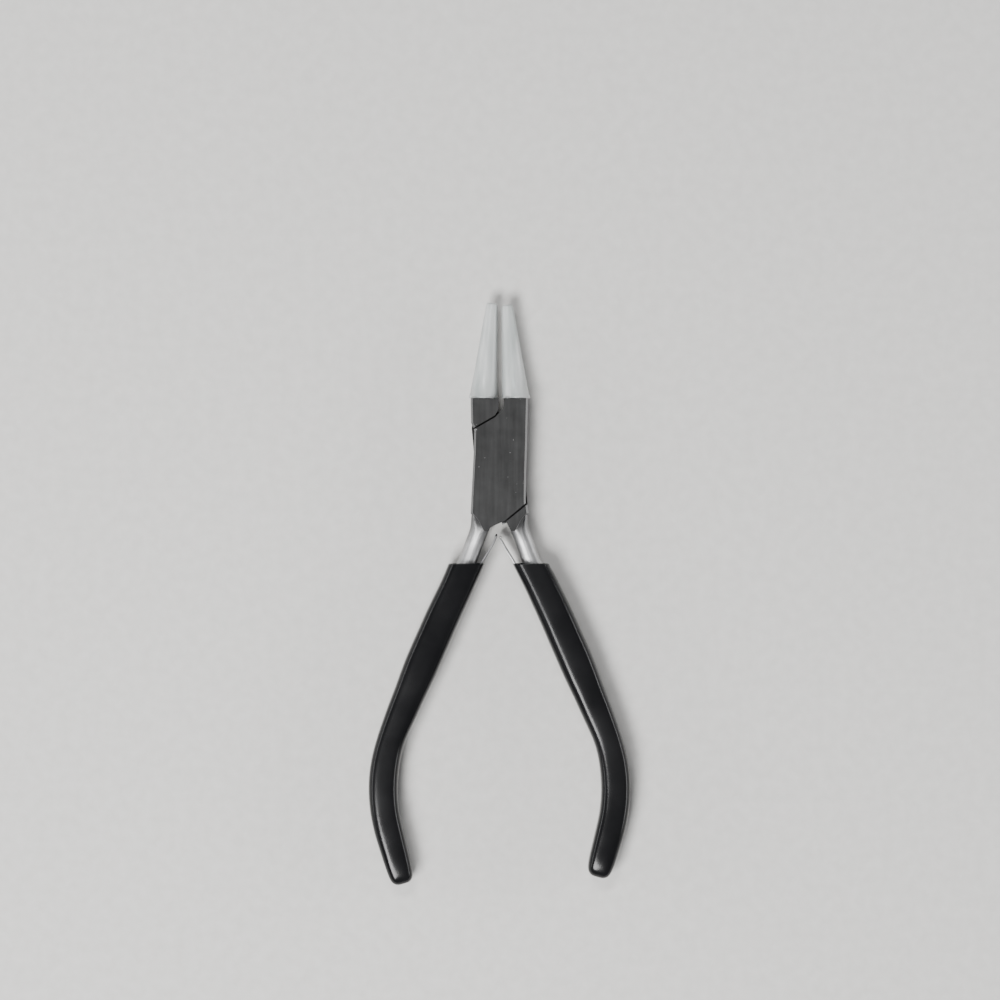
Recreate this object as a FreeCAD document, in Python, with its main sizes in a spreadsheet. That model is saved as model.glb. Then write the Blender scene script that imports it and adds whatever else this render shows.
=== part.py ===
import FreeCAD, Part
import math
import os
import Sketcher

# Small hand pliers with two steel halves in a box joint. The origin is where the
# pivot axis meets the back face; +Y points to the jaws, +Z out of the front face.

os.makedirs("parts", exist_ok=True)
doc = FreeCAD.newDocument("pliers")
V = FreeCAD.Vector
C = Sketcher.Constraint

sizes = {
    # head
    "thick": 6.6, "mid": 3.3, "jawTop": 14.5, "rootHalf": 6.1, "waistHalf": 5.55,
    "faceHalf": 5.7, "neckHalf": 6.2, "shoulder": 10.2, "blockEnd": 13.9, "edge": 0.42,
    # seams between cheeks and the other half
    "seamOuter": 7.85, "seamInner": 10.45, "seamFoot": 7.95, "seamHeel": 11.8,
    # tongue and slot
    "tongueR": 5.0, "slotR": 5.3, "tongueT": 2.34, "slotT": 2.4,
    # pivot pin
    "pinR": 2.0, "pinFit": 0.02, "pinHeadR": 2.5, "pinHeadH": 0.5,
    # jaw cores and sleeves
    "coreX": 2.77, "coreY": 14.5, "coreLean": 5.03,
    "coreR": 1.9, "coreTipR": 0.7, "coreLong": 14.8, "coreSunk": 2.2, "coreEase": 0.3,
    "snapAt": 5.0, "snapLong": 1.0, "snapDeep": 0.22,
    "sleeveX": 3.46, "sleeveLean": 5.22, "sleeveR": 3.12, "sleeveTipR": 1.22,
    "sleeveLong": 20.6, "sleeveShort": 20.2, "lipLong": 0.9, "lipR": 0.1, "sleeveLift": 0.04,
    # handle path
    "neckX": 4.62, "neckY": 13.75, "lean": 22.7, "bendAt": 46.0, "bendR": 34.0, "turn": 38.2,
    "handleTail": 8.0, "gripTail": 11.9, "gripTailShort": 10.4,
    # handle sections
    "neckD": 3.9, "handleW": 4.6, "handleH": 4.8, "handleEndW": 3.0, "handleEndH": 3.4,
    # grips
    "mouthX": 7.05, "mouthXRight": 6.72, "mouthY": 21.0, "mouthW": 7.75, "mouthH": 7.4,
    "gripFit": 0.02, "endRound": 1.9,
    # leaf springs
    "leafT": 0.5, "leafW": 4.0, "seatOff": 1.95, "leafBend": 13.3, "leafEnd": 24.0, "leafLean": 30.0,
    "leafLeanRight": 32.7, "leafFree": 14.5, "leafFreeRight": 14.2, "leafRollR": 0.42,
    "seatStart": 9.6, "seatEnd": 24.6,
    # rivets
    "rivetR": 0.8, "rivetHeadR": 1.35, "rivetHeadH": 0.45, "rivetLong": 2.6,
    "rivetA": 17.5, "rivetB": 21.5,
    # room inside each grip for leaf and rivets
    "roomHalf": 2.3, "roomOff": 3.1, "roomMouth": 3.7, "roomMouthRight": 4.0,
}
sheet = doc.addObject("Spreadsheet::Sheet", "Sizes")
for row, (name, value) in enumerate(sizes.items(), 1):
    sheet.set(f"A{row}", name)
    sheet.set(f"B{row}", str(value))
    sheet.setAlias(f"B{row}", name)
doc.recompute()


def ref(text):
    # Writes the names of sizes in an expression as references to the sheet.
    out = []
    word = ""
    for letter in text + " ":
        if letter.isalnum():
            word += letter
            continue
        out.append(f"Sizes.{word}" if word in sizes else word)
        out.append(letter)
        word = ""
    return "".join(out).strip()


def value(text):
    return float(sheet.evalExpression(ref(text)))


def newBody(label):
    body = doc.addObject("PartDesign::Body", label)
    body.Label = label
    return body


def plane(body, role):
    return [f for f in body.Origin.OriginFeatures if f.Role == role][0]


def newSketch(body, role, x="0", y="0", z="0", turn="0"):
    # x, y and z are along the sketch's own axes; turn is about the body's Z axis.
    sketch = body.newObject("Sketcher::SketchObject", "outline")
    sketch.AttachmentSupport = (plane(body, role), [""])
    sketch.MapMode = "FlatFace"
    axis = "vector(0; 0; 1)" if role == "XY_Plane" else "vector(0; 1; 0)"
    place = f"placement(vector({x}; {y}; {z}); rotation({axis}; ({turn}) * 1deg))"
    sketch.setExpression("AttachmentOffset", ref(place))
    return sketch


def drive(sketch, constraint, text):
    index = sketch.addConstraint(constraint)
    sketch.setExpression(f"Constraints[{index}]", ref(text))


def drawPolygon(sketch, corners):
    points = [V(value(x), value(y), 0) for x, y in corners]
    count = len(points)
    for i in range(count):
        sketch.addGeometry(Part.LineSegment(points[i], points[(i + 1) % count]), False)
    for i in range(count):
        sketch.addConstraint(C("Coincident", i, 2, (i + 1) % count, 1))
    for i, (x, y) in enumerate(corners):
        drive(sketch, C("DistanceX", -1, 1, i, 1, points[i].x), x)
        drive(sketch, C("DistanceY", -1, 1, i, 1, points[i].y), y)
    return sketch


def drawCircle(sketch, radius):
    sketch.addGeometry(Part.Circle(V(0, 0, 0), V(0, 0, 1), value(radius)), False)
    sketch.addConstraint(C("Coincident", 0, 3, -1, 1))
    drive(sketch, C("Radius", 0, value(radius)), radius)
    return sketch


def drawRound(sketch, width, depth, corner):
    w, d, r = value(width) / 2, value(depth) / 2, value(corner)
    sides = [
        ((-w + r, -d), (w - r, -d)), ((w, -d + r), (w, d - r)),
        ((w - r, d), (-w + r, d)), ((-w, d - r), (-w, -d + r)),
    ]
    for start, end in sides:
        sketch.addGeometry(Part.LineSegment(V(*start, 0), V(*end, 0)), False)
    centres = [(w - r, -d + r, 270), (w - r, d - r, 0), (-w + r, d - r, 90), (-w + r, -d + r, 180)]
    for x, y, start in centres:
        circle = Part.Circle(V(x, y, 0), V(0, 0, 1), r)
        arc = Part.ArcOfCircle(circle, math.radians(start), math.radians(start + 90))
        sketch.addGeometry(arc, False)
    for i in range(4):
        sketch.addConstraint(C("Tangent", i, 2, i + 4, 1))
        sketch.addConstraint(C("Tangent", i + 4, 2, (i + 1) % 4, 1))
    for i in range(3):
        sketch.addConstraint(C("Equal", i + 4, i + 5))
    sketch.addConstraint([C("Horizontal", 0), C("Horizontal", 2), C("Vertical", 1), C("Vertical", 3)])
    drive(sketch, C("DistanceX", -1, 1, 1, 1, w), f"({width}) / 2")
    drive(sketch, C("DistanceX", -1, 1, 3, 1, -w), f"-({width}) / 2")
    drive(sketch, C("DistanceY", -1, 1, 2, 1, d), f"({depth}) / 2")
    drive(sketch, C("DistanceY", -1, 1, 0, 1, -d), f"-({depth}) / 2")
    drive(sketch, C("Radius", 4, r), corner)
    return sketch


def settle(body, feature, before):
    doc.recompute()
    if "Invalid" in feature.State or abs(body.Shape.Volume - before) < 0.001:
        raise RuntimeError(feature.Name + " changed nothing in " + body.Label)
    return feature


def volume(body):
    return 0 if body.Shape.isNull() else body.Shape.Volume


def pad(body, sketch, length, midplane=False):
    before = volume(body)
    feature = body.newObject("PartDesign::Pad", "pad")
    feature.Profile = sketch
    feature.setExpression("Length", ref(length))
    feature.Midplane = midplane
    return settle(body, feature, before)


def pocket(body, sketch, length, midplane=False):
    # Cuts against the sketch's normal, or both ways with midplane.
    before = volume(body)
    feature = body.newObject("PartDesign::Pocket", "pocket")
    feature.Profile = sketch
    feature.setExpression("Length", ref(length))
    feature.Midplane = midplane
    return settle(body, feature, before)


def turned(body, kind, sketch):
    before = volume(body)
    feature = body.newObject("PartDesign::" + kind, kind.lower())
    feature.Profile = sketch
    feature.ReferenceAxis = (sketch, ["V_Axis"])
    feature.Angle = 360
    return settle(body, feature, before)


def loft(body, kind, sections):
    before = volume(body)
    feature = body.newObject("PartDesign::" + kind, kind.lower())
    feature.Profile = sections[0]
    feature.Sections = sections[1:]
    return settle(body, feature, before)


def dress(body, kind, size, wanted):
    # Chamfers or fillets the edges for which wanted(edge, middle) is true.
    names = []
    for i, edge in enumerate(body.Shape.Edges, 1):
        middle = edge.valueAt((edge.FirstParameter + edge.LastParameter) / 2)
        if wanted(edge, middle):
            names.append(f"Edge{i}")
    before = volume(body)
    base = body.Tip
    feature = body.newObject("PartDesign::" + kind, kind.lower())
    feature.Base = (base, names)
    feature.setExpression("Size" if kind == "Chamfer" else "Radius", ref(size))
    return settle(body, feature, before)


def turnAround(corners):
    return [(f"-({x})", f"-({y})") for x, y in corners]


def polar(radius, angle):
    return (f"({radius}) * cos(({angle}) * 1deg)", f"({radius}) * sin(({angle}) * 1deg)")


# Stations along a handle, measured from the neck: centre, and how far the section turns.
def onStraight(side, along, off="0"):
    x = f"{side} * (neckX + ({along}) * sin(lean * 1deg) - ({off}) * cos(lean * 1deg))"
    y = f"-(neckY + ({along}) * cos(lean * 1deg) + ({off}) * sin(lean * 1deg))"
    return x, y, f"{side} * lean"


def onBend(side, turned_by):
    x0 = "neckX + bendAt * sin(lean * 1deg)"
    y0 = "neckY + bendAt * cos(lean * 1deg)"
    x = f"{side} * ({x0} + bendR * (cos((lean - {turned_by}) * 1deg) - cos(lean * 1deg)))"
    y = f"-({y0} + bendR * (sin(lean * 1deg) - sin((lean - {turned_by}) * 1deg)))"
    return x, y, f"{side} * (lean - {turned_by})"


def onTail(side, along):
    x, y, turn = onBend(side, "turn")
    x = f"{x} - {side} * ({along}) * sin((turn - lean) * 1deg)"
    y = f"{y} - ({along}) * cos((turn - lean) * 1deg)"
    return x, y, turn


def section(body, station, width, depth, corner):
    x, y, turn = station
    sketch = newSketch(body, "XZ_Plane", x, "mid", f"-({y})", turn)
    return drawRound(sketch, width, depth, corner)


def onNeck(side, x, y, turn):
    return f"{side} * {x}", f"-{y}", f"{side} * {turn}"


def handleSections(body, side, grow="0", start=0):
    g = f" + 2 * ({grow})"
    rows = [
        (onNeck(side, "3.9", "11.3", "36"), "4.8", "6.5", "0.8"),
        (onNeck(side, "4.15", "12.6", "24"), "4.3", "6.42", "1.2"),
        (onNeck(side, "4.45", "13.9", "19.5"), "3.9", "5.95", "1.55"),
        (onNeck(side, "4.95", "15.3", "20.5"), "neckD - 0.1", "5.1", "1.65"),
        (onNeck(side, "5.65", "17.2", "20.5"), "neckD - 0.05", "4.4", "1.68"),
        (onNeck(side, "7.03", "20.84", "21.5"), "neckD", "4.1", "1.7"),
        (onStraight(side, "13.0"), "handleW - 0.1", "handleH - 0.3", "1.7"),
        (onStraight(side, "20.0"), "handleW", "handleH", "1.4"),
        (onStraight(side, "32.0"), "handleW", "handleH", "1.4"),
        (onStraight(side, "44.0"), "handleW - 0.7", "handleH - 0.4", "1.3"),
        (onBend(side, "12"), "handleW - 0.9", "handleH - 0.6", "1.3"),
        (onBend(side, "26"), "handleW - 1", "handleH - 0.8", "1.2"),
        (onTail(side, "0.5"), "handleW - 1.2", "handleH - 1", "1.2"),
        (onTail(side, f"handleTail + ({grow})"), "handleEndW", "handleEndH", "1.1"),
    ]
    return [section(body, s, w + g, d + g, f"{c} + ({grow})") for s, w, d, c in rows[start:]]


def coreProfile():
    # Cone with a snap groove that keeps the sleeve from sliding off.
    heights = ["snapAt", "snapAt + coreEase", "snapAt + snapLong", "snapAt + snapLong + coreEase"]
    slope = "(coreR - coreTipR) / coreLong"
    radii = [f"coreR - ({slope}) * ({height})" for height in heights]
    return [
        ("0", "-coreSunk"),
        (f"coreR + ({slope}) * coreSunk", "-coreSunk"),
        (radii[0], heights[0]),
        (f"{radii[1]} - snapDeep", heights[1]),
        (f"{radii[2]} - snapDeep", heights[2]),
        (radii[3], heights[3]),
        ("coreTipR", "coreLong - coreEase"),
        ("coreTipR - coreEase", "coreLong"),
        ("0", "coreLong"),
    ]


def addCore(body, kind, side):
    sketch = newSketch(body, "XY_Plane", f"{side} * coreX", "coreY", "mid", f"{side} * coreLean")
    return turned(body, kind, drawPolygon(sketch, coreProfile()))


def pinProfile(grow="0"):
    waist = f"pinR + ({grow})"
    head = f"pinHeadR + ({grow})"
    return [
        ("0", "0"), (head, "0"), (waist, "pinHeadH"),
        (waist, "thick - pinHeadH"), (head, "thick"), ("0", "thick"),
    ]


def onFace(edge, middle):
    flat = abs(edge.BoundBox.ZMax - edge.BoundBox.ZMin) < 0.001
    return flat and (abs(middle.z) < 0.001 or abs(middle.z - value("thick")) < 0.001)


def isOuter(edge, middle):
    # Long edges of the faces that are ground off, from the jaw roots round to the necks.
    beside = abs(middle.x) > 5.2 and middle.y < value("jawTop") - 0.2
    return onFace(edge, middle) and (beside or (abs(middle.x) > 4.4 and middle.y < -12))


def boxHalf():
    body = newBody("box_half")
    outline = [
        ("rootHalf", "jawTop"), ("1.07", "jawTop"), ("0.75", "jawTop - 2.2"), ("-0.9", "seamInner"),
        ("-(waistHalf - 0.1)", "seamOuter"), ("-(waistHalf - 0.05)", "3.4"), ("-(neckHalf - 0.15)", "-7"),
        ("-neckHalf", "-shoulder"), ("-5", "-(shoulder + 1.4)"), ("-4.2", "-(blockEnd - 0.8)"),
        ("-3.3", "-blockEnd"), ("-2.45", "-(blockEnd + 0.2)"), ("-1.95", "-(blockEnd - 0.7)"),
        ("-0.97", "-(seamHeel + 0.9)"), ("1.0", "-seamHeel"), ("5.65", "-seamFoot"),
        ("waistHalf + 0.05", "-7.3"), ("faceHalf", "-1"), ("waistHalf + 0.35", "4.6"),
        ("rootHalf - 0.12", "9"),
    ]
    pad(body, drawPolygon(newSketch(body, "XY_Plane"), outline), "thick")
    bends = [("0.75", "jawTop - 2.2"), ("-0.9", "seamInner")]
    spots = [(value(x), value(y)) for x, y in bends]

    def isBend(edge, middle):
        return any(abs(middle.x - x) < 0.01 and abs(middle.y - y) < 0.01 for x, y in spots)

    dress(body, "Fillet", "2", isBend)
    dress(body, "Chamfer", "edge", isOuter)
    # slot for the tongue, leaving a web in two corners of the middle layer
    top = "mid + slotT / 2"
    pocket(body, drawCircle(newSketch(body, "XY_Plane", "0", "0", top), "slotR"), "slotT")
    sweep = [("0", "0"), polar("22", "88"), ("-20", "22"), ("-24", "0"), polar("24", "221.5")]
    for corners in (sweep, turnAround(sweep)):
        pocket(body, drawPolygon(newSketch(body, "XY_Plane", "0", "0", top), corners), "slotT")
    groove = drawPolygon(newSketch(body, "XZ_Plane"), pinProfile())
    turned(body, "Groove", groove)
    addCore(body, "Revolution", 1)
    loft(body, "AdditiveLoft", handleSections(body, -1))
    seat(body, -1)
    return body


def throughHalf():
    body = newBody("through_half")
    tongue = [
        ("0", "0"), polar("12", "92"), ("-0.6", "12.7"), ("-5.8", "9.7"),
        ("-5.98", "seamOuter + 0.2"), ("-waistHalf", "3.2"), polar("tongueR - 0.7", "200"),
    ]
    bottom = "mid - tongueT / 2"
    pad(body, drawCircle(newSketch(body, "XY_Plane", "0", "0", bottom), "tongueR"), "tongueT")
    for corners in (tongue, turnAround(tongue)):
        pad(body, drawPolygon(newSketch(body, "XY_Plane", "0", "0", bottom), corners), "tongueT")
    root = [
        ("-0.2", "jawTop"), ("-(rootHalf + 0.1)", "jawTop"), ("-rootHalf", "9.2"),
        ("-(waistHalf + 0.02)", "seamOuter + 0.32"), ("-0.95", "seamInner + 0.42"),
        ("-0.2", "jawTop - 2.4"),
    ]
    heel = [
        ("5.98", "-(seamFoot + 0.26)"), ("neckHalf", "-shoulder"), ("5", "-(shoulder + 1.4)"),
        ("4.2", "-(blockEnd - 0.8)"), ("3.3", "-blockEnd"), ("2.5", "-(blockEnd + 0.1)"),
        ("1.4", "-(seamHeel + 0.15)"),
    ]
    for corners in (root, heel):
        pad(body, drawPolygon(newSketch(body, "XY_Plane"), corners), "thick")
    dress(body, "Chamfer", "edge", isOuter)
    bore = [("0", "0"), ("pinR + pinFit", "0"), ("pinR + pinFit", "thick"), ("0", "thick")]
    turned(body, "Groove", drawPolygon(newSketch(body, "XZ_Plane"), bore))
    addCore(body, "Revolution", -1)
    loft(body, "AdditiveLoft", handleSections(body, 1))
    seat(body, 1)
    return body


def seat(body, side):
    # A flat milled on the inner side of the handle, with two holes for the rivets.
    x, y, turn = onStraight(side, "0")
    corners = [(f"-{side} * seatOff", "-seatStart"), (f"-{side} * 4", "-seatStart"),
               (f"-{side} * 4", "-seatEnd"), (f"-{side} * seatOff", "-seatEnd")]
    pocket(body, drawPolygon(newSketch(body, "XY_Plane", x, y, "mid", turn), corners), "9", True)
    for along in ("rivetA", "rivetB"):
        holes = newSketch(body, "XY_Plane", *onStraight(side, along)[:2], "mid", f"{turn} + 90")
        inner = f"{side} * (seatOff - rivetLong)"
        outer = f"{side} * seatOff"
        hole = [("0", inner), ("rivetR", inner), ("rivetR", outer), ("0", outer)]
        turned(body, "Groove", drawPolygon(holes, hole))


def pivotPin():
    body = newBody("pivot_pin")
    turned(body, "Revolution", drawPolygon(newSketch(body, "XZ_Plane"), pinProfile()))
    return body


def sleeve(label, side, length):
    body = newBody(label)
    profile = [
        ("0", "-0.6"), ("sleeveR", "-0.6"), ("sleeveR", "lipLong"), ("sleeveR - lipR", "lipLong + 0.2"),
        ("sleeveTipR", f"{length} - 0.4"), ("sleeveTipR - 0.12", f"{length} - 0.15"),
        ("sleeveTipR - 0.4", length), ("0", length),
    ]
    sketch = newSketch(body, "XY_Plane", f"{side} * sleeveX", "jawTop", "mid", f"{side} * sleeveLean")
    turned(body, "Revolution", drawPolygon(sketch, profile))
    under = [("-9", "jawTop + sleeveLift"), ("-9", "12"), ("9", "12"), ("9", "jawTop + sleeveLift")]
    pocket(body, drawPolygon(newSketch(body, "XY_Plane", "0", "0", "mid"), under), "12", True)
    addCore(body, "Groove", side)
    return body


def grip(label, side, tail, mouth, roomMouth):
    body = newBody(label)
    rows = [
        ((f"{side} * {mouth}", "-mouthY", "0"), "mouthW", "mouthH", "2.3"),
        (onStraight(side, "12", "0.5"), "7.15", "7.7", "2.3"),
        (onStraight(side, "21", "0.15"), "7.4", "8", "2.4"),
        (onStraight(side, "31"), "7.5", "8", "2.5"),
        (onStraight(side, "40"), "6.75", "7.6", "2.4"),
        (onBend(side, "5"), "6.05", "7.1", "2.3"),
        (onBend(side, "18"), "6.4", "7.2", "2.3"),
        (onBend(side, "turn"), "6.2", "7", "2.3"),
        (onTail(side, f"{tail} * 0.5"), "5.6", "6.6", "2.2"),
        (onTail(side, tail), "4.9", "6", "2.1"),
    ]
    loft(body, "AdditiveLoft", [section(body, *row) for row in rows])
    endY = value(onTail(side, tail)[1])
    dress(body, "Fillet", "endRound", lambda e, m: e.BoundBox.YMax < endY + 1.4)
    loft(body, "SubtractiveLoft", handleSections(body, side, "gripFit", 4))
    x, y, turn = onStraight(side, "0")
    room = [
        (f"-{side} * seatOff", "-6"), (f"-{side} * {roomMouth}", "-6"), (f"-{side} * roomOff", "-leafBend"),
        (f"-{side} * roomOff", "-seatEnd"), (f"-{side} * seatOff", "-seatEnd"),
    ]
    pocket(body, drawPolygon(newSketch(body, "XY_Plane", x, y, "mid", turn), room), "2 * roomHalf", True)
    return body


def leaf(label, side, long, lean):
    body = newBody(label)
    x, y, turn = onStraight(side, "0")
    near, far = f"-{side} * seatOff", f"-{side} * (seatOff + leafT)"
    flat = [
        (near, "-(leafBend + 0.3)"), (far, "-(leafBend + 0.3)"),
        (far, "-leafEnd"), (near, "-leafEnd"),
    ]
    pad(body, drawPolygon(newSketch(body, "XY_Plane", x, y, "mid", turn), flat), "leafW", True)
    bx, by, _ = onStraight(side, "leafBend + 0.3", "seatOff + leafT / 2")
    free = [
        ("-leafT / 2", "-0.05"), ("leafT / 2", "-0.05"),
        ("leafT / 2", long), ("-leafT / 2", long),
    ]
    slanted = newSketch(body, "XY_Plane", bx, by, "mid", f"{side} * {lean}")
    pad(body, drawPolygon(slanted, free), "leafW", True)
    tx = f"{bx} - {side} * {long} * sin({lean} * 1deg)"
    ty = f"{by} + {long} * cos({lean} * 1deg)"
    roll = newSketch(body, "XY_Plane", tx, ty, "mid")
    pad(body, drawCircle(roll, "leafRollR" if side > 0 else "leafT / 2"), "leafW", True)
    through = f"{side} * 4"
    for along in ("rivetA", "rivetB"):
        holes = newSketch(body, "XY_Plane", *onStraight(side, along)[:2], "mid", f"{turn} + 90")
        hole = [("0", "0"), ("rivetR", "0"), ("rivetR", through), ("0", through)]
        turned(body, "Groove", drawPolygon(holes, hole))
    return body


def rivets(label, side):
    made = []
    for along in ("rivetA", "rivetB"):
        shank = doc.addObject("Part::Cylinder", "shank")
        head = doc.addObject("Part::Cone", "head")
        shank.setExpression("Radius", ref("rivetR"))
        shank.setExpression("Height", ref("rivetLong + leafT"))
        head.setExpression("Radius1", ref("rivetHeadR"))
        head.setExpression("Radius2", ref("rivetHeadR - 0.35"))
        head.setExpression("Height", ref("rivetHeadH"))
        for part, off in ((shank, "seatOff - rivetLong"), (head, "seatOff + leafT")):
            x, y, _ = onStraight(side, along, off)
            lean = f"rotation(vector(0; 0; 1); ({side} * lean) * 1deg)"
            across = f"rotation(vector(0; 1; 0); {-side} * 90deg)"
            place = ref(f"placement(vector({x}; {y}; mid); {lean} * {across})")
            part.setExpression("Placement", place)
        rivet = doc.addObject("Part::Fuse", "rivet")
        rivet.Base = shank
        rivet.Tool = head
        made.append(rivet)
    both = doc.addObject("Part::Compound", label)
    both.Label = label
    both.Links = made
    return both


nodes = [boxHalf(), throughHalf(), pivotPin()]
nodes.append(sleeve("left_jaw_sleeve", -1, "sleeveLong"))
nodes.append(sleeve("right_jaw_sleeve", 1, "sleeveShort"))
nodes.append(grip("left_grip", -1, "gripTail", "mouthX", "roomMouth"))
nodes.append(grip("right_grip", 1, "gripTailShort", "mouthXRight", "roomMouthRight"))
nodes.append(leaf("left_leaf_spring", -1, "leafFree", "leafLean"))
nodes.append(leaf("right_leaf_spring", 1, "leafFreeRight", "leafLeanRight"))
nodes.append(rivets("left_spring_rivets", -1))
nodes.append(rivets("right_spring_rivets", 1))
doc.recompute()

for thing in doc.Objects:
    if "Invalid" in thing.State or "Error" in thing.State:
        raise RuntimeError(thing.Name + " failed: " + str(thing.State))
for node in nodes:
    shape = node.Shape
    if shape.isNull() or not shape.isValid():
        raise RuntimeError(node.Label + " has no valid shape")
    shape.exportStep("parts/" + node.Label + ".step")
    box = shape.BoundBox
    print(node.Label, "solids", len(shape.Solids), "volume", round(shape.Volume, 1))
    print("   x", round(box.XMin, 2), round(box.XMax, 2), "y", round(box.YMin, 2), round(box.YMax, 2),
          "z", round(box.ZMin, 2), round(box.ZMax, 2))
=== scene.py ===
import bpy
import bmesh
import math
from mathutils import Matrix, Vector


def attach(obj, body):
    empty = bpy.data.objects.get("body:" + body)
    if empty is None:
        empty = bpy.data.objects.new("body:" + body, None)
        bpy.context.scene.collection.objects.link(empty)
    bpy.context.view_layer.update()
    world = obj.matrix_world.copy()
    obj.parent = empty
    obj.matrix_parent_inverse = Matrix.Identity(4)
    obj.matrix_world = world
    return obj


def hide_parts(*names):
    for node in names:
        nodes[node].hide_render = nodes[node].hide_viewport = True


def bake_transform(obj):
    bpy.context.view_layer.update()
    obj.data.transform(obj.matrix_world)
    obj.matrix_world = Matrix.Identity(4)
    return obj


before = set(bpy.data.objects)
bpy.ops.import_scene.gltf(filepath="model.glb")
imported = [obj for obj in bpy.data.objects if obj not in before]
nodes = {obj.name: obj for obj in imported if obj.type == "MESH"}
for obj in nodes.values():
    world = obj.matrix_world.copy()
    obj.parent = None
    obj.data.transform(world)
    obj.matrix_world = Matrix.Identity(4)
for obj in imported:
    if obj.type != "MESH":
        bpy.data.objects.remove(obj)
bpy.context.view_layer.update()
mm = 0.001
midZ = 3.3  # middle of the head's thickness, in mm
bpy.ops.object.select_all(action="DESELECT")


# Places on a handle, and sections carried along a path.

handle = {
    "neckX": 4.62, "neckY": 13.75, "lean": 22.7,
    "bendAt": 46.0, "bendRadius": 34.0, "bendTurn": 38.2,
}


def onHandle(side, along, off=0.0):
    # Point on a handle's centre line, in mm, and how far a section there is turned.
    lean = math.radians(handle["lean"])
    radius = handle["bendRadius"]
    bend = math.radians(handle["bendTurn"])
    x = handle["neckX"] + min(along, handle["bendAt"]) * math.sin(lean)
    y = handle["neckY"] + min(along, handle["bendAt"]) * math.cos(lean)
    turned = max(0.0, min(bend, (along - handle["bendAt"]) / radius))
    x += radius * (math.cos(lean - turned) - math.cos(lean))
    y += radius * (math.sin(lean) - math.sin(lean - turned))
    left = max(0.0, along - handle["bendAt"] - radius * bend)
    heading = lean - turned
    x += left * math.sin(heading) - off * math.cos(heading)
    y += left * math.cos(heading) + off * math.sin(heading)
    return side * x, -y, side * math.degrees(heading)


def between(rows, at):
    # Widths and depths eased between the rows of a table.
    for low, high in zip(rows, rows[1:]):
        if at <= high[0]:
            share = (at - low[0]) / (high[0] - low[0])
            share = share * share * (3 - 2 * share)
            return [a + (b - a) * share for a, b in zip(low[1:], high[1:])]
    return list(rows[-1][1:])


def turnBy(degrees, centre):
    bpy.ops.transform.rotate(value=-math.radians(degrees), orient_axis="Z", center_override=centre)


def sweep(name, stations, corner, segments):
    # A rounded section, extruded through stations of (x, y, turn, width, depth) in mm.
    x, y, turn, width, depth = stations[0]
    place = (x * mm, y * mm, midZ * mm)
    upright = (math.pi / 2, 0, math.radians(turn))
    bpy.ops.mesh.primitive_plane_add(size=1, location=place, rotation=upright)
    piece = bpy.context.object
    piece.name = name
    piece.scale = (width * mm, depth * mm, 1)
    bpy.ops.object.transform_apply(location=True, rotation=True, scale=True)
    bpy.ops.object.mode_set(mode="EDIT")
    bpy.ops.mesh.select_all(action="SELECT")
    bpy.ops.mesh.bevel(offset=corner * mm, affect="VERTICES", segments=segments)
    bpy.ops.mesh.select_all(action="SELECT")
    for nx, ny, newTurn, newWidth, newDepth in stations[1:]:
        step = ((nx - x) * mm, (ny - y) * mm, 0)
        bpy.ops.mesh.extrude_region_move(TRANSFORM_OT_translate={"value": step})
        place = (nx * mm, ny * mm, midZ * mm)
        turnBy(-turn, place)
        growth = (newWidth / width, 1, newDepth / depth)
        bpy.ops.transform.resize(value=growth, center_override=place)
        turnBy(newTurn, place)
        x, y, turn, width, depth = nx, ny, newTurn, newWidth, newDepth
    bpy.ops.mesh.select_all(action="SELECT")
    bpy.ops.mesh.normals_make_consistent(inside=False)
    bpy.ops.mesh.select_all(action="DESELECT")
    return piece


def pickFaces(piece, wanted):
    # Selects, in edit mode, the faces for which wanted(middle, normal) is true.
    bpy.ops.mesh.select_all(action="DESELECT")
    bpy.ops.mesh.select_mode(type="FACE")
    work = bmesh.from_edit_mesh(piece.data)
    for face in work.faces:
        face.select_set(wanted(face.calc_center_median() / mm, face.normal))
    bmesh.update_edit_mesh(piece.data)


def finishMesh(piece, levels, angle=None):
    bpy.ops.mesh.select_all(action="SELECT")
    bpy.ops.mesh.normals_make_consistent(inside=False)
    bpy.ops.object.mode_set(mode="OBJECT")
    if levels:
        smooth = piece.modifiers.new("smooth", "SUBSURF")
        smooth.levels = levels
        smooth.render_levels = levels
        bpy.ops.object.modifier_apply(modifier="smooth")
    if angle:
        bpy.ops.object.shade_smooth_by_angle(angle=math.radians(angle))
    else:
        bpy.ops.object.shade_smooth()


# Materials.

def newMaterial(name):
    material = bpy.data.materials.new(name)
    material.use_nodes = True
    tree = material.node_tree
    return material, tree, tree.nodes["Principled BSDF"]


def addNode(tree, kind, settings=None, **inputs):
    node = tree.nodes.new("ShaderNode" + kind)
    for key, value in (settings or {}).items():
        setattr(node, key, value)
    for key, value in inputs.items():
        socket = node.inputs[key.replace("_", " ")]
        if isinstance(value, bpy.types.NodeSocket):
            tree.links.new(value, socket)
        else:
            socket.default_value = value
    return node


def noise(tree, vector, scale, detail, stretch=(1, 1, 1)):
    mapped = addNode(tree, "Mapping", Vector=vector, Scale=stretch)
    pattern = addNode(tree, "TexNoise", Vector=mapped.outputs["Vector"], Scale=scale, Detail=detail)
    return pattern.outputs["Fac"]


def grey(tone):
    return (tone, tone, tone, 1)


def ramp(tree, factor, stops):
    node = addNode(tree, "ValToRGB", Fac=factor)
    elements = node.color_ramp.elements
    while len(elements) < len(stops):
        elements.new(0.5)
    for element, (place, color) in zip(elements, stops):
        element.position = place
        element.color = (*color, 1) if isinstance(color, tuple) else grey(color)
    return node.outputs["Color"]


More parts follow.
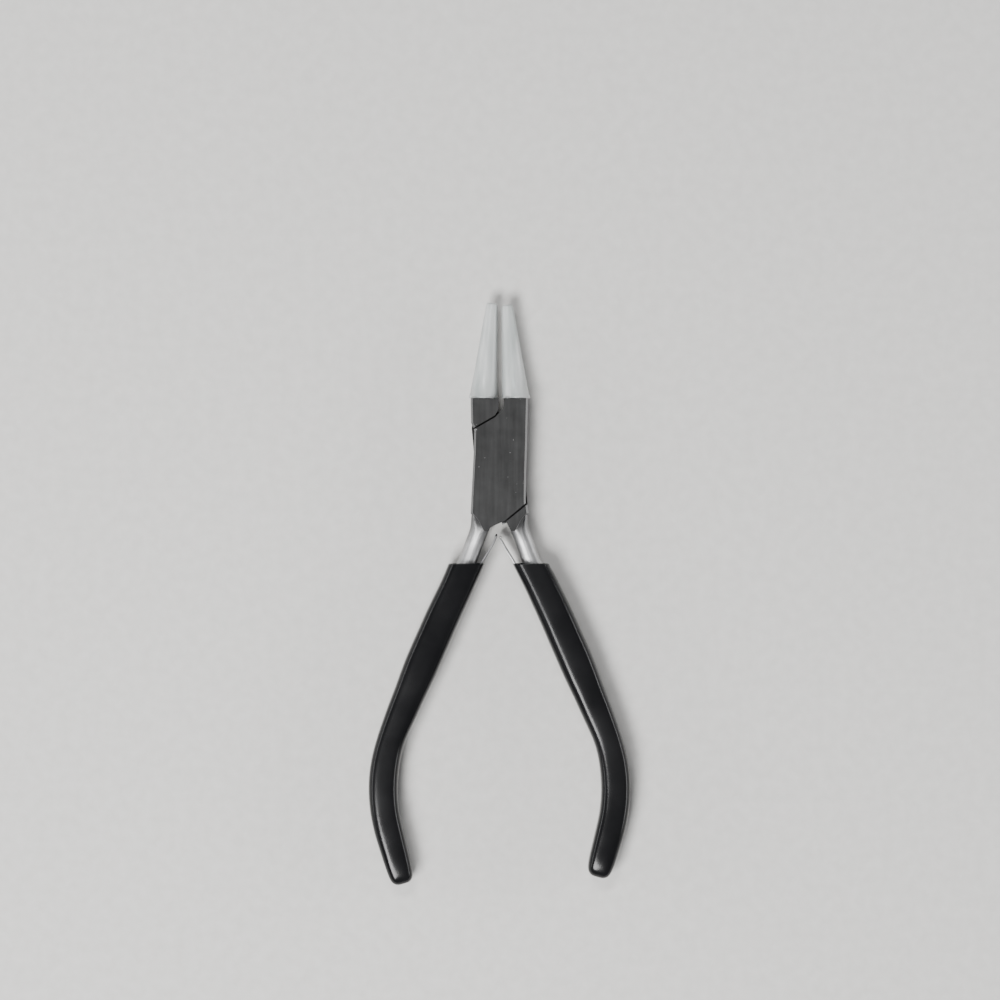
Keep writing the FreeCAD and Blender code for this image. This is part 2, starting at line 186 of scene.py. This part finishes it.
def mixColor(tree, factor, first, second):
    node = tree.nodes.new("ShaderNodeMix")
    node.data_type = "RGBA"
    for index, value in ((0, factor), (6, first), (7, second)):
        socket = node.inputs[index]
        if isinstance(value, bpy.types.NodeSocket):
            tree.links.new(value, socket)
        else:
            socket.default_value = value
    return node.outputs[2]


def maths(tree, operation, first, second=0.0):
    node = addNode(tree, "Math", {"operation": operation})
    for socket, value in zip(node.inputs, (first, second)):
        if isinstance(value, bpy.types.NodeSocket):
            tree.links.new(value, socket)
        else:
            socket.default_value = value
    return node.outputs[0]


def easeStep(tree, value, start, end):
    # 0 below start and 1 above end, both in mm.
    node = addNode(tree, "MapRange", Value=value, From_Min=start * mm, From_Max=end * mm)
    return node.outputs["Result"]


def bump(tree, shader, height, strength, distance):
    node = addNode(tree, "Bump", Height=height, Strength=strength, Distance=distance * mm)
    tree.links.new(node.outputs["Normal"], shader.inputs["Normal"])


# Steel halves and pin: the CAD solids, with ground faces and tumbled necks.

steelLook = {
    "faceDark": 0.026, "faceLight": 0.046, "neckDark": 0.32, "neckLight": 0.46,
    "edgeTone": 0.16, "speckTone": 0.2, "coreTone": 0.35, "paintedShadeTone": 0.015,
    "faceRough": 0.44, "neckRough": 0.47, "metal": 0.95,
    "grindScale": 900, "mottleScale": 260, "pitScale": 2600, "speckScale": 1500,
    # mm from the middle layer where the ground faces begin
    "groundFrom": 2.2, "groundTo": 3.2,
    # Y, in mm, between which the bright necks change to the head
    "neckEnd": -16.5, "headStart": -12.0,
    # mm: lowest Y of the painted recess shade, half the slot, half the width between the edges
    "recessEnd": -12.2, "slotHalf": 1.28, "wallHalf": 5.2,
    "coreStart": 14.55,
}


def makeSteel():
    material, tree, shader = newMaterial("forgedSteel")
    place = addNode(tree, "TexCoord").outputs["Object"]
    grind = noise(tree, place, steelLook["grindScale"], 4, (1, 0.07, 0.3))
    mottle = noise(tree, place, steelLook["mottleScale"], 5)
    pits = noise(tree, place, steelLook["pitScale"], 2)
    mixed = maths(tree, "ADD", maths(tree, "MULTIPLY", grind, 0.55), maths(tree, "MULTIPLY", mottle, 0.45))
    face = ramp(tree, mixed, [(0.35, steelLook["faceDark"]), (0.68, steelLook["faceLight"])])
    specks = ramp(tree, noise(tree, place, steelLook["speckScale"], 1), [(0.77, 0.0), (0.8, 1.0)])
    face = mixColor(tree, specks, face, grey(steelLook["speckTone"]))
    neck = ramp(tree, mottle, [(0.3, steelLook["neckDark"]), (0.7, steelLook["neckLight"])])
    # faces square to the pivot are dark, ground edges and round necks are bright
    normal = addNode(tree, "NewGeometry").outputs["True Normal"]
    facing = addNode(tree, "SeparateXYZ", Vector=normal).outputs["Z"]
    flat = ramp(tree, maths(tree, "ABSOLUTE", facing), [(0.9, 0.0), (0.985, 1.0)])
    split = addNode(tree, "SeparateXYZ", Vector=place)
    depth = maths(tree, "ABSOLUTE", maths(tree, "SUBTRACT", split.outputs["Z"], midZ * mm))
    level = easeStep(tree, depth, steelLook["groundFrom"], steelLook["groundTo"])
    onFace = maths(tree, "MULTIPLY", flat, level)
    head = easeStep(tree, split.outputs["Y"], steelLook["neckEnd"], steelLook["headStart"])
    edge = mixColor(tree, head, neck, grey(steelLook["edgeTone"]))
    # walls of the seams and the layer between the cheeks get painted shade, a near-black tone where light
    # would hardly reach
    above = maths(tree, "GREATER_THAN", split.outputs["Y"], steelLook["recessEnd"] * mm)
    deep = maths(tree, "LESS_THAN", depth, steelLook["slotHalf"] * mm)
    fromMiddle = maths(tree, "ABSOLUTE", split.outputs["X"])
    within = maths(tree, "LESS_THAN", fromMiddle, steelLook["wallHalf"] * mm)
    upright = maths(tree, "LESS_THAN", maths(tree, "ABSOLUTE", facing), 0.3)
    wall = maths(tree, "MULTIPLY", within, upright)
    shadedRecess = maths(tree, "MULTIPLY", above, maths(tree, "MAXIMUM", deep, wall))
    # painted shade: the recess mask swaps the steel tone for near black
    edge = mixColor(tree, shadedRecess, edge, grey(steelLook["paintedShadeTone"]))
    core = maths(tree, "GREATER_THAN", split.outputs["Y"], steelLook["coreStart"] * mm)
    tone = mixColor(tree, core, mixColor(tree, onFace, edge, face), grey(steelLook["coreTone"]))
    tree.links.new(tone, shader.inputs["Base Color"])
    low, high = steelLook["neckRough"], steelLook["faceRough"]
    rough = addNode(tree, "MapRange", Value=onFace, To_Min=low, To_Max=high)
    tree.links.new(rough.outputs["Result"], shader.inputs["Roughness"])
    shader.inputs["Metallic"].default_value = steelLook["metal"]
    lines = maths(tree, "ADD", maths(tree, "MULTIPLY", grind, 0.7), maths(tree, "MULTIPLY", pits, 0.3))
    bump(tree, shader, lines, 0.35, 0.02)
    return material


steel = makeSteel()
for nodeName in ("box_half", "through_half", "pivot_pin"):
    nodes[nodeName].data.materials.clear()
    nodes[nodeName].data.materials.append(steel)
print("steel halves and pin done")


# Jaw sleeves: milky nylon cones with a lip round the mouth.

sleeveLook = {
    "baseX": 3.46, "baseY": 14.5, "lean": 5.22, "sides": 96,
    "mouthRadius": 3.12, "tipRadius": 1.22, "start": -0.6, "cutY": 14.55,
    "leftLength": 20.6, "rightLength": 20.2,
    "lipLong": 0.5, "lipOut": 0.17, "lipEase": 0.1,
    "lipShape": [(0.35, 0.0), (0.7, 0.15), (1.0, 0.6)],  # shares of lipLong and lipOut
    "wallRings": (0.25, 0.5, 0.75, 0.95),
    "tipRound": [(0.45, 0.0), (0.2, 0.07), (0.06, 0.2), (0.0, 0.42)],  # mm back and mm in
    "tipInset": 0.15,
    "toneLow": (0.4, 0.43, 0.42), "toneHigh": (0.62, 0.63, 0.62),
    "streakScale": 520, "ringScale": 1500,
    "haze": 0.12, "glow": 0.3, "glowDepth": (1.5, 1.5, 1.4), "gloss": 0.3,
}


def makeNylon():
    material, tree, shader = newMaterial("milkyNylon")
    place = addNode(tree, "TexCoord").outputs["Object"]
    streaks = noise(tree, place, sleeveLook["streakScale"], 3, (1, 0.1, 1))
    rings = noise(tree, place, sleeveLook["ringScale"], 2, (0.05, 1, 0.05))
    tone = ramp(tree, streaks, [(0.32, sleeveLook["toneLow"]), (0.7, sleeveLook["toneHigh"])])
    tree.links.new(tone, shader.inputs["Base Color"])
    shader.inputs["Roughness"].default_value = sleeveLook["gloss"]
    shader.inputs["Transmission Weight"].default_value = sleeveLook["haze"]
    shader.inputs["Subsurface Weight"].default_value = sleeveLook["glow"]
    shader.inputs["Subsurface Radius"].default_value = [deep * mm for deep in sleeveLook["glowDepth"]]
    shader.inputs["Subsurface Scale"].default_value = 1.0
    shader.inputs["IOR"].default_value = 1.5
    bump(tree, shader, rings, 0.25, 0.03)
    return material


def makeSleeve(name, side, length, body, node, material):
    look = sleeveLook
    lean = math.radians(look["lean"])
    axis = Vector((-side * math.sin(lean), math.cos(lean), 0))
    base = Vector((side * look["baseX"], look["baseY"], midZ))
    radius, tip = look["mouthRadius"], look["tipRadius"]
    # (along, radius) pairs from the mouth to the tip
    profile = [(look["start"], radius)]
    for share, inward in look["lipShape"]:
        profile.append((look["lipLong"] * share, radius - look["lipOut"] * inward))
    wall = radius - look["lipOut"]
    profile.append((look["lipLong"] + look["lipEase"], wall))
    for share in look["wallRings"]:
        profile.append((length * share, wall + (tip - wall) * share))
    for back, inward in look["tipRound"]:
        profile.append((length - back, tip - inward))
    at = base + axis * look["start"]
    bpy.ops.mesh.primitive_circle_add(vertices=look["sides"], radius=radius * mm, fill_type="NGON",
                                      location=at * mm, rotation=(math.pi / 2, 0, side * lean))
    piece = bpy.context.object
    piece.name = name
    bpy.ops.object.transform_apply(location=True, rotation=True, scale=True)
    bpy.ops.object.mode_set(mode="EDIT")
    bpy.ops.mesh.select_all(action="SELECT")
    for (low, wide), (high, narrow) in zip(profile, profile[1:]):
        bpy.ops.mesh.extrude_region_move(TRANSFORM_OT_translate={"value": axis * (high - low) * mm})
        share = narrow / wide
        bpy.ops.transform.resize(value=(share, share, share), center_override=(base + axis * high) * mm)
    bpy.ops.mesh.inset(thickness=look["tipInset"] * mm)
    bpy.ops.mesh.select_all(action="SELECT")
    bpy.ops.mesh.normals_make_consistent(inside=False)
    # the mouth is cut square to the jaw roots
    mouth = (0, look["cutY"] * mm, 0)
    bpy.ops.mesh.bisect(plane_co=mouth, plane_no=(0, 1, 0), use_fill=True, clear_inner=True)
    finishMesh(piece, 0, 40)
    piece.data.materials.append(material)
    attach(piece, body)
    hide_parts(node)
    return piece


nylon = makeNylon()
makeSleeve("leftSleeve", -1, sleeveLook["leftLength"], "through_side", "left_jaw_sleeve", nylon)
makeSleeve("rightSleeve", 1, sleeveLook["rightLength"], "box_side", "right_jaw_sleeve", nylon)
print("jaw sleeves done")


# Grips: dipped vinyl over the handles, with a rolled mouth.

gripLook = {
    "corner": 2.2, "cornerSteps": 3, "step": 3.0, "firstRing": 12.0,
    "leftX": 7.07, "rightX": 6.74, "leftEnd": 80.5, "rightEnd": 79.0,
    "mouthY": 21.0, "mouthWidth": 7.85, "mouthDepth": 7.5, "mouthSlope": 0.42,
    "mouthRings": (0.0, 0.12, 0.6),
    "endRoom": 2.5, "endRings": ((2.2, 1.0), (1.1, 0.9), (0.35, 0.68), (0.02, 0.36)),  # mm back, share
    "lipRound": 0.2, "lipRise": 0.12, "lipFlat": 0.5, "holeRound": 0.18,
    "holeShift": 0.4, "lipDeep": 0.5, "holeDeep": 9.0,
    "toneLow": (0.004, 0.004, 0.0045), "toneHigh": (0.008, 0.008, 0.0085),
    "smearScale": 90, "dustScale": 3200, "waveScale": 140,
    "gloss": 0.14, "dull": 0.14, "shine": 0.22,
}
# Along the handle: how far the grip sits inward of the handle's line, its width and its depth.
gripSizes = [
    (9.0, 0.55, 7.1, 7.45), (12.0, 0.5, 7.15, 7.7), (21.0, 0.15, 7.4, 8.0), (31.0, 0.0, 7.5, 8.0),
    (40.0, 0.0, 6.75, 7.6), (49.0, 0.0, 6.05, 7.1), (56.7, 0.0, 6.4, 7.2), (68.7, 0.0, 6.3, 7.0),
    (74.0, 0.0, 5.9, 6.7), (80.0, 0.0, 5.4, 6.2), (82.0, 0.0, 5.2, 6.0),
]


def makeVinyl():
    material, tree, shader = newMaterial("dippedVinyl")
    place = addNode(tree, "TexCoord").outputs["Object"]
    smear = noise(tree, place, gripLook["smearScale"], 4)
    dust = noise(tree, place, gripLook["dustScale"], 2)
    wave = noise(tree, place, gripLook["waveScale"], 2, (1, 0.5, 1))
    tone = ramp(tree, smear, [(0.3, gripLook["toneLow"]), (0.75, gripLook["toneHigh"])])
    tree.links.new(tone, shader.inputs["Base Color"])
    glossy = gripLook["gloss"]
    rough = addNode(tree, "MapRange", Value=smear, To_Min=glossy, To_Max=glossy + gripLook["dull"])
    tree.links.new(rough.outputs["Result"], shader.inputs["Roughness"])
    shader.inputs["Specular IOR Level"].default_value = gripLook["shine"]
    relief = maths(tree, "ADD", maths(tree, "MULTIPLY", wave, 0.9), maths(tree, "MULTIPLY", dust, 0.1))
    bump(tree, shader, relief, 0.25, 0.12)
    return material


def makeGrip(name, side, x, endAt, body, node, material):
    look = gripLook
    y = look["mouthY"]
    stations = []
    for down in look["mouthRings"]:
        ringX = side * (x + down * look["mouthSlope"])
        stations.append((ringX, -y - down, 0.0, look["mouthWidth"], look["mouthDepth"]))
    along = look["firstRing"]
    while along < endAt - look["endRoom"]:
        inward, width, depth = between(gripSizes, along)
        stations.append((*onHandle(side, along, inward), width, depth))
        along += look["step"]
    _, width, depth = between(gripSizes, endAt)
    for back, share in look["endRings"]:
        stations.append((*onHandle(side, endAt - back), width * share, depth * share))
    piece = sweep(name, stations, look["corner"], look["cornerSteps"])
    # rolled lip, then the wall going down inside the mouth
    pickFaces(piece, lambda middle, normal: abs(middle.y + look["mouthY"]) < 0.01)
    bpy.ops.mesh.inset(thickness=look["lipRound"] * mm)
    bpy.ops.mesh.extrude_region_move(TRANSFORM_OT_translate={"value": (0, look["lipRise"] * mm, 0)})
    bpy.ops.mesh.inset(thickness=look["lipFlat"] * mm)
    bpy.ops.mesh.inset(thickness=look["holeRound"] * mm)
    bpy.ops.transform.translate(value=(-side * look["holeShift"] * mm, 0, 0))
    lean = math.radians(handle["lean"])
    for deep in (look["lipDeep"], look["holeDeep"]):
        inward = (side * math.sin(lean) * deep * mm, -math.cos(lean) * deep * mm, 0)
        bpy.ops.mesh.extrude_region_move(TRANSFORM_OT_translate={"value": inward})
    finishMesh(piece, 3)
    piece.data.materials.append(material)
    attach(piece, body)
    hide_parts(node)
    return piece


vinyl = makeVinyl()
makeGrip("leftGrip", -1, gripLook["leftX"], gripLook["leftEnd"], "box_side", "left_grip", vinyl)
makeGrip("rightGrip", 1, gripLook["rightX"], gripLook["rightEnd"], "through_side", "right_grip", vinyl)
print("grips done")


# Leaf springs: bright strip, clamped in the grips, tips close together at the middle.

leafLook = {
    "thick": 0.5, "wide": 4.0, "corner": 0.12, "bendAt": 13.6, "offAxis": 2.2,
    "clampRings": (24.0, 20.0, 16.5, 14.1),
    "rollRadius": 0.26, "rollX": 0.15, "rollY": -15.45, "rollTurn": 240, "rollStep": 30,
    "rollThick": 0.55, "rollWide": 0.98,
    "toneLow": 0.17, "toneHigh": 0.36, "rough": 0.34, "lineScale": 1200,
    # (x, y, turn) from the grip to the tip
    "leftPath": [
        (-7.77, -27.15, -31), (-6.6, -25.25, -31.6), (-4.9, -22.49, -31.6), (-3.2, -19.72, -31.6),
        (-1.95, -17.69, -31), (-1.33, -16.65, -26), (-0.86, -15.5, -19.6), (-0.57, -14.5, -17),
    ],
    "rightPath": [
        (7.55, -26.7, 39), (6.2, -24.95, 38), (4.62, -23.0, 36), (3.7, -21.55, 32),
        (2.77, -20.0, 31.6), (1.82, -18.46, 31.6), (0.86, -16.9, 31), (0.5, -16.1, 25),
    ],
}


def makeStrip():
    material, tree, shader = newMaterial("springStrip")
    place = addNode(tree, "TexCoord").outputs["Object"]
    rolled = noise(tree, place, leafLook["lineScale"], 3, (0.2, 0.2, 1))
    tone = ramp(tree, rolled, [(0.3, leafLook["toneLow"]), (0.7, leafLook["toneHigh"])])
    tree.links.new(tone, shader.inputs["Base Color"])
    shader.inputs["Metallic"].default_value = 1.0
    shader.inputs["Roughness"].default_value = leafLook["rough"]
    bump(tree, shader, rolled, 0.2, 0.01)
    return material


def makeLeaf(name, side, node, material):
    look = leafLook
    thick, wide = look["thick"], look["wide"]
    stations = []
    for along in look["clampRings"]:
        stations.append((*onHandle(side, along, look["offAxis"]), thick, wide))
    path = look["leftPath"] if side < 0 else look["rightPath"]
    stations += [(x, y, turn, thick, wide) for x, y, turn in path]
    if side > 0:
        # the right tip is rolled back on itself
        radius = look["rollRadius"]
        for turned in range(0, look["rollTurn"] + 1, look["rollStep"]):
            angle = math.radians(turned)
            x = look["rollX"] - radius + radius * (1 - math.cos(angle))
            y = look["rollY"] + radius * math.sin(angle)
            stations.append((x, y, -turned, thick * look["rollThick"], wide * look["rollWide"]))
    rootX, rootY, _ = onHandle(side, look["bendAt"], look["offAxis"])
    piece = sweep(name, stations, look["corner"], 2)
    finishMesh(piece, 1, 50)
    piece.data.materials.append(material)
    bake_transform(piece)
    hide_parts(node)
    return piece


strip = makeStrip()
makeLeaf("leftLeaf", -1, "left_leaf_spring", strip)
makeLeaf("rightLeaf", 1, "right_leaf_spring", strip)
for nodeName in ("left_spring_rivets", "right_spring_rivets"):
    nodes[nodeName].data.materials.clear()
    nodes[nodeName].data.materials.append(strip)
print("leaf springs done")


# Floor, light and camera.

stageLook = {
    "floorZ": -0.78, "floorSize": 3.0, "floorGrain": 400,
    "floorLow": (0.55, 0.54, 0.52), "floorHigh": (0.6, 0.59, 0.57),
    "world": 0.22, "worldTint": (0.9, 0.93, 1, 1), "lampAim": (0, -0.02, 0),
    # name, place, size and power of each lamp, in metres and watts
    "lamps": [
        ("leftSoftbox", (-0.75, 0.05, 0.2), (0.6, 0.14), 1.8),
        ("rightSoftbox", (0.75, 0.0, 0.2), (0.6, 0.14), 2.8),
        ("topSoftbox", (-0.3, -0.42, 0.82), (0.42, 0.36), 17),
        ("backSoftbox", (-0.14, 0.38, 0.85), (0.3, 0.15), 3.5),
    ],
    "lens": 167.0, "cameraHeight": 1.0, "lookX": 0.1, "lookY": -7.3, "clipStart": 0.01,
}


def makeFloor():
    level = (0, 0, stageLook["floorZ"] * mm)
    bpy.ops.mesh.primitive_plane_add(size=stageLook["floorSize"], location=level)
    floor = bpy.context.object
    floor.name = "floor"
    material, tree, shader = newMaterial("paleFloor")
    place = addNode(tree, "TexCoord").outputs["Object"]
    grain = noise(tree, place, stageLook["floorGrain"], 3)
    tone = ramp(tree, grain, [(0.3, stageLook["floorLow"]), (0.7, stageLook["floorHigh"])])
    tree.links.new(tone, shader.inputs["Base Color"])
    shader.inputs["Roughness"].default_value = 0.9
    floor.data.materials.append(material)


def makeLamp(name, place, size, power):
    bpy.ops.object.light_add(type="AREA", location=place)
    lamp = bpy.context.object
    lamp.name = name
    lamp.data.shape = "RECTANGLE"
    lamp.data.size, lamp.data.size_y = size
    lamp.data.energy = power
    toAim = Vector(stageLook["lampAim"]) - Vector(place)
    lamp.rotation_euler = toAim.to_track_quat("-Z", "Y").to_euler()


makeFloor()
for settings in stageLook["lamps"]:
    makeLamp(*settings)
world = bpy.data.worlds.new("studio")
world.use_nodes = True
background = world.node_tree.nodes["Background"]
background.inputs["Color"].default_value = stageLook["worldTint"]
background.inputs["Strength"].default_value = stageLook["world"]
bpy.context.scene.world = world
above = (stageLook["lookX"] * mm, stageLook["lookY"] * mm, stageLook["cameraHeight"])
bpy.ops.object.camera_add(location=above)
camera = bpy.context.object
camera.data.lens = stageLook["lens"]
camera.data.clip_start = stageLook["clipStart"]
bpy.context.scene.camera = camera
print("stage done")
